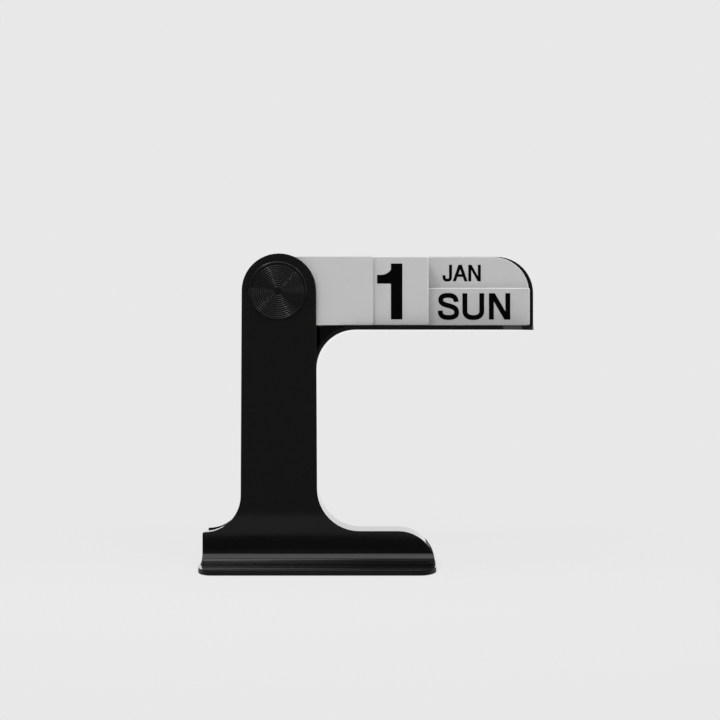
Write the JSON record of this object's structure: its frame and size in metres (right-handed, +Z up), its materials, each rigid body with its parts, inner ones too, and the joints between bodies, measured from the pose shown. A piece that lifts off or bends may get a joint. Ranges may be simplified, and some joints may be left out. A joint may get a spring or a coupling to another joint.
{
  "type": "perpetual desk calendar",
  "caption": "Desk calendar: a C-shaped stand with a broad base, and flat date cards that turn on one pin from a ledge into the hollow upright.",
  "frame": {"origin": "on the surface it stands on, straight below the pin and at the middle of the stand's depth, on the base cover's underside", "axes": "+Z up, -Y is the front that shows the date, +X along the arm, to the right seen from the front; the pin's axis is along Y"},
  "size_m": [0.1708, 0.089, 0.1603],
  "materials": {
    "black_abs": "satin-gloss moulded black",
    "cover_abs": "fine matte moulded black",
    "disc_abs": "glossy black with turned concentric grooves",
    "screw_steel": "plain zinc-plated",
    "card_pvc": "smooth satin white sheet"
  },
  "bodies": {
    "stand": {"front_shell": "black_abs", "rear_shell": "black_abs", "base_cover": "cover_abs", "pivot_sleeve": "black_abs", "front_disc": "disc_abs", "rear_disc": "disc_abs", "base_screw_1": "screw_steel", "base_screw_2": "screw_steel", "base_screw_3": "screw_steel", "base_screw_4": "screw_steel"},
    "tens_card_blank": {"tens_card_blank": "card_pvc"},
    "tens_card_1": {"tens_card_1": "card_pvc"},
    "tens_card_2": {"tens_card_2": "card_pvc"},
    "tens_card_3": {"tens_card_3": "card_pvc"},
    "units_card_1": {"units_card_1": "card_pvc"},
    "units_card_2": {"units_card_2": "card_pvc"},
    "units_card_3": {"units_card_3": "card_pvc"},
    "units_card_4": {"units_card_4": "card_pvc"},
    "units_card_5": {"units_card_5": "card_pvc"},
    "units_card_6": {"units_card_6": "card_pvc"},
    "units_card_7": {"units_card_7": "card_pvc"},
    "units_card_8": {"units_card_8": "card_pvc"},
    "units_card_9": {"units_card_9": "card_pvc"},
    "units_card_0": {"units_card_0": "card_pvc"},
    "weekday_card_sun": {"weekday_card_sun": "card_pvc"},
    "weekday_card_mon": {"weekday_card_mon": "card_pvc"},
    "weekday_card_tue": {"weekday_card_tue": "card_pvc"},
    "weekday_card_wed": {"weekday_card_wed": "card_pvc"},
    "weekday_card_thu": {"weekday_card_thu": "card_pvc"},
    "weekday_card_fri": {"weekday_card_fri": "card_pvc"},
    "weekday_card_sat": {"weekday_card_sat": "card_pvc"},
    "month_card_jan": {"month_card_jan": "card_pvc"},
    "month_card_feb": {"month_card_feb": "card_pvc"},
    "month_card_mar": {"month_card_mar": "card_pvc"},
    "month_card_apr": {"month_card_apr": "card_pvc"},
    "month_card_may": {"month_card_may": "card_pvc"},
    "month_card_jun": {"month_card_jun": "card_pvc"},
    "month_card_jul": {"month_card_jul": "card_pvc"},
    "month_card_aug": {"month_card_aug": "card_pvc"},
    "month_card_sep": {"month_card_sep": "card_pvc"},
    "month_card_oct": {"month_card_oct": "card_pvc"},
    "month_card_nov": {"month_card_nov": "card_pvc"},
    "month_card_dec": {"month_card_dec": "card_pvc"}
  },
  "joints": [
    {"name": "tens_card_blank_turn", "type": "hinge", "parent": "stand", "child": "tens_card_blank", "pos_m": [0, 0, 0.1414], "axis": [0, -1, 0], "range_deg": [0, 270]},
    {"name": "tens_card_1_turn", "type": "hinge", "parent": "stand", "child": "tens_card_1", "pos_m": [0, 0, 0.1414], "axis": [0, -1, 0], "range_deg": [0, 270]},
    {"name": "tens_card_2_turn", "type": "hinge", "parent": "stand", "child": "tens_card_2", "pos_m": [0, 0, 0.1414], "axis": [0, -1, 0], "range_deg": [0, 270]},
    {"name": "tens_card_3_turn", "type": "hinge", "parent": "stand", "child": "tens_card_3", "pos_m": [0, 0, 0.1414], "axis": [0, -1, 0], "range_deg": [0, 270]},
    {"name": "units_card_1_turn", "type": "hinge", "parent": "stand", "child": "units_card_1", "pos_m": [0, 0, 0.1414], "axis": [0, -1, 0], "range_deg": [0, 270]},
    {"name": "units_card_2_turn", "type": "hinge", "parent": "stand", "child": "units_card_2", "pos_m": [0, 0, 0.1414], "axis": [0, -1, 0], "range_deg": [0, 270]},
    {"name": "units_card_3_turn", "type": "hinge", "parent": "stand", "child": "units_card_3", "pos_m": [0, 0, 0.1414], "axis": [0, -1, 0], "range_deg": [0, 270]},
    {"name": "units_card_4_turn", "type": "hinge", "parent": "stand", "child": "units_card_4", "pos_m": [0, 0, 0.1414], "axis": [0, -1, 0], "range_deg": [0, 270]},
    {"name": "units_card_5_turn", "type": "hinge", "parent": "stand", "child": "units_card_5", "pos_m": [0, 0, 0.1414], "axis": [0, -1, 0], "range_deg": [0, 270]},
    {"name": "units_card_6_turn", "type": "hinge", "parent": "stand", "child": "units_card_6", "pos_m": [0, 0, 0.1414], "axis": [0, -1, 0], "range_deg": [0, 270]},
    {"name": "units_card_7_turn", "type": "hinge", "parent": "stand", "child": "units_card_7", "pos_m": [0, 0, 0.1414], "axis": [0, -1, 0], "range_deg": [0, 270]},
    {"name": "units_card_8_turn", "type": "hinge", "parent": "stand", "child": "units_card_8", "pos_m": [0, 0, 0.1414], "axis": [0, -1, 0], "range_deg": [0, 270]},
    {"name": "units_card_9_turn", "type": "hinge", "parent": "stand", "child": "units_card_9", "pos_m": [0, 0, 0.1414], "axis": [0, -1, 0], "range_deg": [0, 270]},
    {"name": "units_card_0_turn", "type": "hinge", "parent": "stand", "child": "units_card_0", "pos_m": [0, 0, 0.1414], "axis": [0, -1, 0], "range_deg": [0, 270]},
    {"name": "weekday_card_sun_turn", "type": "hinge", "parent": "stand", "child": "weekday_card_sun", "pos_m": [0, 0, 0.1414], "axis": [0, -1, 0], "range_deg": [0, 270]},
    {"name": "weekday_card_mon_turn", "type": "hinge", "parent": "stand", "child": "weekday_card_mon", "pos_m": [0, 0, 0.1414], "axis": [0, -1, 0], "range_deg": [0, 270]},
    {"name": "weekday_card_tue_turn", "type": "hinge", "parent": "stand", "child": "weekday_card_tue", "pos_m": [0, 0, 0.1414], "axis": [0, -1, 0], "range_deg": [0, 270]},
    {"name": "weekday_card_wed_turn", "type": "hinge", "parent": "stand", "child": "weekday_card_wed", "pos_m": [0, 0, 0.1414], "axis": [0, -1, 0], "range_deg": [0, 270]},
    {"name": "weekday_card_thu_turn", "type": "hinge", "parent": "stand", "child": "weekday_card_thu", "pos_m": [0, 0, 0.1414], "axis": [0, -1, 0], "range_deg": [0, 270]},
    {"name": "weekday_card_fri_turn", "type": "hinge", "parent": "stand", "child": "weekday_card_fri", "pos_m": [0, 0, 0.1414], "axis": [0, -1, 0], "range_deg": [0, 270]},
    {"name": "weekday_card_sat_turn", "type": "hinge", "parent": "stand", "child": "weekday_card_sat", "pos_m": [0, 0, 0.1414], "axis": [0, -1, 0], "range_deg": [0, 270]},
    {"name": "month_card_jan_turn", "type": "hinge", "parent": "stand", "child": "month_card_jan", "pos_m": [0, 0, 0.1414], "axis": [0, -1, 0], "range_deg": [0, 270]},
    {"name": "month_card_feb_turn", "type": "hinge", "parent": "stand", "child": "month_card_feb", "pos_m": [0, 0, 0.1414], "axis": [0, -1, 0], "range_deg": [0, 270]},
    {"name": "month_card_mar_turn", "type": "hinge", "parent": "stand", "child": "month_card_mar", "pos_m": [0, 0, 0.1414], "axis": [0, -1, 0], "range_deg": [0, 270]},
    {"name": "month_card_apr_turn", "type": "hinge", "parent": "stand", "child": "month_card_apr", "pos_m": [0, 0, 0.1414], "axis": [0, -1, 0], "range_deg": [0, 270]},
    {"name": "month_card_may_turn", "type": "hinge", "parent": "stand", "child": "month_card_may", "pos_m": [0, 0, 0.1414], "axis": [0, -1, 0], "range_deg": [0, 270]},
    {"name": "month_card_jun_turn", "type": "hinge", "parent": "stand", "child": "month_card_jun", "pos_m": [0, 0, 0.1414], "axis": [0, -1, 0], "range_deg": [0, 270]},
    {"name": "month_card_jul_turn", "type": "hinge", "parent": "stand", "child": "month_card_jul", "pos_m": [0, 0, 0.1414], "axis": [0, -1, 0], "range_deg": [0, 270]},
    {"name": "month_card_aug_turn", "type": "hinge", "parent": "stand", "child": "month_card_aug", "pos_m": [0, 0, 0.1414], "axis": [0, -1, 0], "range_deg": [0, 270]},
    {"name": "month_card_sep_turn", "type": "hinge", "parent": "stand", "child": "month_card_sep", "pos_m": [0, 0, 0.1414], "axis": [0, -1, 0], "range_deg": [0, 270]},
    {"name": "month_card_oct_turn", "type": "hinge", "parent": "stand", "child": "month_card_oct", "pos_m": [0, 0, 0.1414], "axis": [0, -1, 0], "range_deg": [0, 270]},
    {"name": "month_card_nov_turn", "type": "hinge", "parent": "stand", "child": "month_card_nov", "pos_m": [0, 0, 0.1414], "axis": [0, -1, 0], "range_deg": [0, 270]},
    {"name": "month_card_dec_turn", "type": "hinge", "parent": "stand", "child": "month_card_dec", "pos_m": [0, 0, 0.1414], "axis": [0, -1, 0], "range_deg": [0, 270]}
  ]
}
